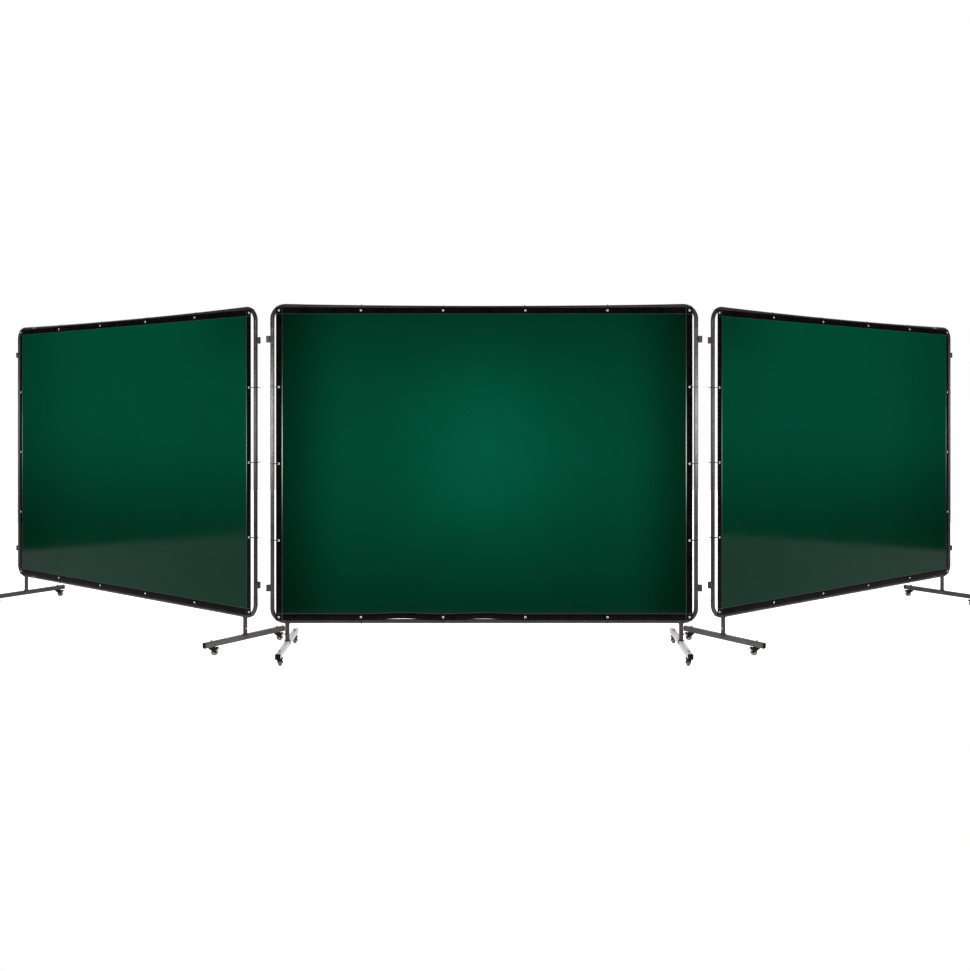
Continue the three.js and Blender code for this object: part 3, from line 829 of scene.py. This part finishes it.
def foot_hardware(foot):
    """Each caster's stem, its washer and head under the bar, and its nut on top."""
    made = Shape(ZINC)
    for place in ("front", "rear"):
        stem = foot_frame(foot).inverted() @ pos(f"{foot}_{place}_swivel")
        at = at_scaled(Matrix.Translation((stem.x, stem.y, 0)))
        top, crown = bar_top / MM, crown_top / MM
        nut = [(0.1, top - 0.5), (7.0, top - 0.5), (7.5, top + 0.5), (7.5, top + 6.2)]
        nut += [(6.7, top + 7), (0.1, top + 7)]
        made.lathe(nut, 6, at=at)
        thread = [(0.1, top + 6), (3.9, top + 6), (3.9, top + 8.6), (3.3, top + 9.4), (0.1, top + 9.4)]
        made.lathe(thread, 24, at=at)
        washer = [(4.1, crown + 0.1), (9, crown + 0.1), (9.2, crown + 0.3), (9.2, crown + 0.9)]
        washer += [(9, crown + 1.1), (4.1, crown + 1.1)]
        made.lathe(washer, 28, at=at, closed=True)
        shank = [(0.1, crown - 9.7), (7.2, crown - 9.7), (7.4, crown - 9.3), (7.4, crown - 6.6)]
        shank += [(7.1, crown - 6.4), (4, crown - 6.4), (4, top - 0.2), (0.1, top - 0.2)]
        made.lathe(shank, 24, at=at)
    return made


# ------------------------------------------------------------------ casters
def rim(middle, radius, count=20):
    return [(middle.x + radius * math.cos(a), middle.z + radius * math.sin(a)) for a in turns(count)]


def fork_body(axle, pivot):
    """Two side plates under a round crown, with a hood over the wheel."""
    made = Shape(FORK, ZINC)
    under_crown = [(x * MM, crown_top - z * MM) for x in (-14.25, 14.25) for z in (8, 1)]
    round_ends = (rim(axle, FORK_BOSS_RADIUS), rim(pivot, FORK_EAR_RADIUS))
    arms = [hull(end + under_crown) for end in round_ends]
    outline = merged(arms, (0, crown_top - 4 * MM))
    inner, outer = FORK_SLOT / 2, FORK_SLOT / 2 + FORK_PLATE
    for low, high in ((-outer, -inner), (inner, outer)):
        made.extrude(outline, low, high, 0.6 * MM)
    near, far = WHEEL_RADIUS + 2.5 * MM, WHEEL_RADIUS + 5 * MM
    arc = [math.radians(68 + 80 * i / 14) for i in range(15)]
    hood = [(axle.x + far * math.cos(a), axle.z + far * math.sin(a)) for a in arc]
    hood += [(axle.x + near * math.cos(a), axle.z + near * math.sin(a)) for a in arc[::-1]]
    made.extrude(hood, -inner - 0.2 * MM, inner + 0.2 * MM, 0.3 * MM)
    top = crown_top / MM
    crown = [(8.6, top - 6), (14.7, top - 6), (15.5, top - 5.2), (15.5, top - 1.4), (14.6, top - 0.5)]
    crown += [(11.6, top - 0.4), (11.2, top), (8.6, top), (5.0, top - 0.3), (5.0, top - 5)]
    made.lathe([(r * MM, h * MM) for r, h in crown], 40, closed=True)
    for side in (-1, 1):
        turn = Matrix.Rotation(math.pi / 2 * -side, 4, "X")
        at = at_scaled(Matrix.Translation((pivot.x, side * (outer - 0.2 * MM), pivot.z)) @ turn)
        made.lathe([(0.1, 0), (2.6, 0), (2.6, 0.7), (2.0, 1.2), (0.1, 1.4)], 20, 1, at)
    return made


def axle_set(axle):
    """The axle bolt with its head and nut outside the fork."""
    made = Shape(STEEL)
    across = Matrix.Rotation(-math.pi / 2, 4, "X")
    at = at_scaled(Matrix.Translation((axle.x, 0, axle.z)) @ across)
    made.lathe([(0.1, -13), (2.9, -13), (2.9, 13), (0.1, 13)], 20, at=at)
    for side in (-1, 1):
        head = [(0.1, 12.8), (5.4, 12.8), (5.8, 13.2), (5.8, 15.4), (5.0, 16.2), (0.1, 16.4)]
        made.lathe([(r, side * h) for r, h in head], 6, at=at)
        washer = [(3, 12.7), (6.6, 12.7), (6.6, 13.3), (3, 13.3)]
        made.lathe([(r, side * h) for r, h in washer], 24, at=at, closed=True)
    return made


def tyre():
    half, outer = WHEEL_WIDTH / 2 / MM, WHEEL_RADIUS / MM
    made = Shape(TREAD)
    ring = [(13.2, -half + 0.6), (14.2, -half), (16.6, -half), (17.9, -half + 0.5), (18.7, -half + 1.6)]
    ring += [(outer, -half + 3.4), (outer, -0.9), (outer - 0.3, -0.5)]
    ring += [(r, -h) for r, h in ring[::-1]]
    across = Matrix.Rotation(-math.pi / 2, 4, "X")
    return made.lathe(ring, 48, at=at_scaled(across), closed=True)


def hub():
    """Rim, dished web with lightening bosses, and the bearing boss."""
    made = Shape(HUB, TREAD)
    half = WHEEL_WIDTH / 2 / MM
    across = at_scaled(Matrix.Rotation(-math.pi / 2, 4, "X"))
    side = [(3.35, -half - 0.9), (5.2, -half - 0.9), (5.8, -half - 0.4), (6.2, -4.2), (7.0, -3.4)]
    side += [(10.2, -3.0), (11.0, -3.6), (11.5, -half + 0.6), (13.0, -half + 0.2), (13.2, -half + 0.8)]
    made.lathe(side + [(r, -h) for r, h in side[::-1]], 40, at=across, closed=True)
    for a in turns(6):
        spoke = [(6, -6.6), (10.8, -6.0), (10.8, 6.0), (6, 6.6)]
        turned = Matrix.Rotation(a, 4, "Z")
        verts = [Vector((r, w, h)) for w in (-0.9, 0.9) for r, h in spoke]
        faces = [(0, 1, 2, 3), (7, 6, 5, 4)] + [(i, i + 4, (i + 1) % 4 + 4, (i + 1) % 4) for i in range(4)]
        made.add(verts, faces, 0, across @ turned)
    for sign in (-1, 1):
        cup = ((3.35, 0.7), (4.6, 0.7), (4.6, 1.1), (3.35, 1.1))
        made.lathe([(r, sign * (half + h)) for r, h in cup], 24, 1, across, closed=True)
    return made


def brake_arm():
    """Pedal, barrel and shoe round the brake's pin, with the foot pad over the pin."""
    made = Shape(ARM, FORK)
    across = Vector((0, 1, 0))
    tilt = Matrix.Rotation(math.radians(32), 4, "Y")
    barrel = [(1.85, -7.5), (3.1, -7.5), (3.5, -7.1), (3.5, 7.1), (3.1, 7.5), (1.85, 7.5)]
    made.lathe(barrel, 28, at=at_scaled(Matrix.Rotation(-math.pi / 2, 4, "X")), closed=True)
    # (along, height, width) of the pedal
    steps = [(2.4, 0, 11), (4, 0, 12), (9, -0.1, 12.5), (19, -0.2, 14), (25, 0, 15)]
    steps += [(28.5, 0.7, 14), (30.5, 1.5, 11)]
    path = [tilt @ Vector((x * MM, 0, z * MM)) for x, z, _ in steps]
    made.sweep(path, [rounded(w * MM, 2.4 * MM, 0.8 * MM, 3) for *_, w in steps], across)
    for y in (-4.2, 0, 4.2):
        ridge = [tilt @ Vector((x * MM, y * MM, 1.3 * MM)) for x in (17, 18, 25, 26)]
        made.sweep(ridge, [circle(r * MM, 8) for r in (0.2, 0.7, 0.7, 0.2)], across)
    # (along, middle height, width, thickness) of the black foot pad over the pin
    pad = [(-4.6, 4.6, 8, 3.4), (-3.6, 5.0, 11, 5.6), (0, 5.4, 13, 7.6), (4, 5.0, 13, 7.2)]
    pad += [(7.6, 3.9, 11.5, 5), (8.8, 3.2, 8, 3)]
    middle = [tilt @ Vector((x * MM, 0, z * MM)) for x, z, *_ in pad]
    made.sweep(middle, [rounded(w * MM, h * MM, 1.3 * MM, 3) for *_, w, h in pad], across, 1)
    lean = math.radians(180 - 53)
    inwards = Vector((math.cos(lean), 0, -math.sin(lean)))
    shoe = [inwards * (k * MM) for k in (2.2, 3.4, 3.9)]
    sizes = ((13.6, 4.6), (13.6, 4.6), (12.6, 3.6))
    made.sweep(shoe, [rounded(w * MM, h * MM, 0.7 * MM, 2) for w, h in sizes], across)
    return made


# ------------------------------------------------------------------ the object
for seed, screen in enumerate(SCREENS):
    panel = panel_frame(screen)
    top = Shape(POWDER)
    top.sweep(*rail("top"), Vector((0, 1, 0)))
    top.piece(screen + "_top_tube", panel, screen, "frame", screen + "_top_rail")
    bottom = Shape(POWDER, WELD)
    bottom.sweep(*rail("bottom"), Vector((0, 1, 0)))
    for x in (-leg_x, leg_x):
        leg(bottom, x)
    bottom.piece(screen + "_bottom_tube", panel, screen, "frame", screen + "_bottom_rail")
    for end, side in (("left", -1), ("right", 1)):
        at = panel @ Matrix.Translation((side * post_x, 0, 0))
        node = f"{screen}_{end}_post"
        post(side).piece(node + "_tube", at, screen, "frame", node)
    cloth = sheet(seed).piece(screen + "_sheet", panel, screen, "curtain", screen + "_curtain")
    edging = [
        hem(seed).piece(screen + "_hem", panel, screen, "curtain"),
        seams(seed).piece(screen + "_seams", panel, screen, "curtain"),
        grommets(seed).piece(screen + "_grommets", panel, screen, "curtain"),
        ties(seed).piece(screen + "_zip_ties", panel, screen, "frame"),
    ]

    for end, side in (("left", -1), ("right", 1)):
        foot = f"{screen}_{end}"
        at = foot_frame(foot)
        far_end = screen == f"{end}_screen"
        # The middle screen's feet take the painted-highlight copy of the bar coat, and the outer screens'
        # far feet take the painted-shade copy.
        bar = BAR_PAINTED_HIGHLIGHT if screen == "centre_screen" else BAR_PAINTED_SHADE if far_end else BAR_GREY
        foot_base(bar, side).piece(foot + "_foot_base", at, screen, "foot", foot + "_foot")
        foot_caps().piece(foot + "_foot_caps", at, screen, "foot")
        foot_hardware(foot).piece(foot + "_foot_hardware", at, screen, "foot")
        for place in ("front", "rear"):
            caster = f"{foot}_{place}"
            at = caster_frame(caster)
            axle, pivot = in_caster(caster, "_roll"), in_caster(caster, "_brake_lever")
            fork = caster + "_fork"
            fork_body(axle, pivot).piece(fork + "_body", at, fork, "fork", fork)
            axle_set(axle).piece(caster + "_axle", at, fork, "fork")
            at_wheel = at @ Matrix.Translation(axle)
            tyre().piece(caster + "_tyre", at_wheel, caster + "_wheel", "wheel", caster + "_wheel")
            hub().piece(caster + "_hub", at_wheel, caster + "_wheel", "wheel")
            at_pin = at @ Matrix.Translation(pivot)
            brake_arm().piece(caster + "_brake_arm", at_pin, caster + "_brake", "brake", caster + "_brake")

# ------------------------------------------------------------------ studio
scene = bpy.context.scene
scene.view_settings.view_transform = "Standard"

CAMERA_BACK = 4.64
CAMERA_HEIGHT = 1.436
camera = bpy.data.objects.new("camera", bpy.data.cameras.new("camera"))
camera.data.sensor_width = 36
camera.data.lens = 29.29
camera.data.shift_x = 0.0008
camera.data.shift_y = -0.0773
camera.location = (0, panel_y - CAMERA_BACK, CAMERA_HEIGHT)
camera.rotation_euler = (math.pi / 2, 0, 0)
scene.collection.objects.link(camera)
scene.camera = camera

# The floor is bright enough to look white, and ends before the middle curtain could mirror it.
FLOOR_SIDE = 5.95
FLOOR_FRONT = panel_y - 1.0
FLOOR_REAR = 9.0
FLOOR_GLOW = 0.95  # its brightness to the camera
FLOOR_MIRRORED = 0.33  # its brightness in reflections
floor_mesh = bpy.data.meshes.new("floor")
corners = [(-FLOOR_SIDE, FLOOR_FRONT), (FLOOR_SIDE, FLOOR_FRONT)]
corners += [(FLOOR_SIDE, FLOOR_REAR), (-FLOOR_SIDE, FLOOR_REAR)]
floor_mesh.from_pydata([(x, y, 0) for x, y in corners], [], [(0, 1, 2, 3)])
floor = bpy.data.objects.new("floor", floor_mesh)
scene.collection.objects.link(floor)
pale = Nodes("floor_white", Roughness=0.9, Emission_Color=(1, 1, 1, 1), Specular_IOR_Level=0.0)
in_mirror = pale.node("LightPath").outputs["Is Glossy Ray"]
pale.join(pale.mix(in_mirror, (0.85, 0.85, 0.85), (0.1, 0.1, 0.1)), "Base Color")
pale.join(pale.math("MULTIPLY_ADD", in_mirror, FLOOR_MIRRORED - FLOOR_GLOW, FLOOR_GLOW), "Emission Strength")
floor_mesh.materials.append(pale.material)

world = bpy.data.worlds.new("studio")
world.use_nodes = True
scene.world = world
tree = world.node_tree
background = tree.nodes["Background"]
path = tree.nodes.new("ShaderNodeLightPath")


def world_math(operation, *values):
    made = tree.nodes.new("ShaderNodeMath")
    made.operation = operation
    for i, value in enumerate(values):
        if isinstance(value, bpy.types.NodeSocket):
            tree.links.new(value, made.inputs[i])
        else:
            made.inputs[i].default_value = value
    return made.outputs[0]


direction = tree.nodes.new("ShaderNodeSeparateXYZ")
tree.links.new(tree.nodes.new("ShaderNodeTexCoord").outputs["Generated"], direction.inputs[0])
# Mirrored: a bright wall behind the object up to 35 degrees high, and a dark room elsewhere
behind = world_math("GREATER_THAN", direction.outputs["Y"], 0.3)
low = world_math("LESS_THAN", direction.outputs["Z"], 0.57)
mirrored = world_math("MULTIPLY_ADD", world_math("MULTIPLY", behind, low), 0.9, 0.006)
lit = world_math("MULTIPLY_ADD", path.outputs["Is Diffuse Ray"], 0.85, 0.0)
glossy = world_math("MULTIPLY", path.outputs["Is Glossy Ray"], mirrored)
strength = world_math("ADD", world_math("ADD", lit, glossy), path.outputs["Is Camera Ray"])
tree.links.new(strength, background.inputs["Strength"])
background.inputs["Color"].default_value = (1, 1, 1, 1)


def softbox(name, at, towards, size, watts, mirrored=False, only_on=None):
    light = bpy.data.lights.new(name, "AREA")
    light.shape, light.size, light.size_y = "RECTANGLE", *size
    light.energy = watts
    made = bpy.data.objects.new(name, light)
    made.location = at
    made.rotation_euler = (Vector(towards) - Vector(at)).to_track_quat("-Z", "Y").to_euler()
    made.visible_glossy = mirrored
    made.visible_camera = False
    made.light_linking.receiver_collection = only_on
    scene.collection.objects.link(made)


softbox("key", (-3.5, -5.5, 4.2), (0, panel_y, 1.0), (2.5, 2.5), 60)
softbox("fill", (3.5, -5.5, 3.6), (0, panel_y, 1.0), (2.5, 2.5), 45)


def only(name, *endings):
    """A collection of the pieces whose names end so, for a lamp that lights nothing else."""
    chosen = bpy.data.collections.new(name)
    for made in scene.collection.objects:
        if made.name.endswith(endings):
            chosen.objects.link(made)
    return chosen


# Strips that glint along the tubes only
tubes = only("tubes", "_tube")
centre_posts = only("centre_posts", "centre_screen_left_post_tube", "centre_screen_right_post_tube")
ends = ("left", "right")
outer_posts = only("outer_posts", *(f"{s}_screen_{e}_post_tube" for s in ends for e in ends))
softbox("strip", (0, panel_y - 5, 2.75), (0, panel_y, 2.05), (4.8, 0.35), 18, mirrored=True, only_on=tubes)
LAMP_DISTANCE = 5.5
EYE_LEVEL = 1.29
for degrees in (-55, 0, 55):
    turned = math.radians(degrees)
    place = (LAMP_DISTANCE * math.sin(turned), panel_y - LAMP_DISTANCE * math.cos(turned), EYE_LEVEL)
    for name, watts, posts in (("eye_strip", 95, centre_posts), ("faint_eye_strip", 32, outer_posts)):
        softbox(name, place, (0, panel_y, EYE_LEVEL), (5.5, 1.1), watts, mirrored=True, only_on=posts)
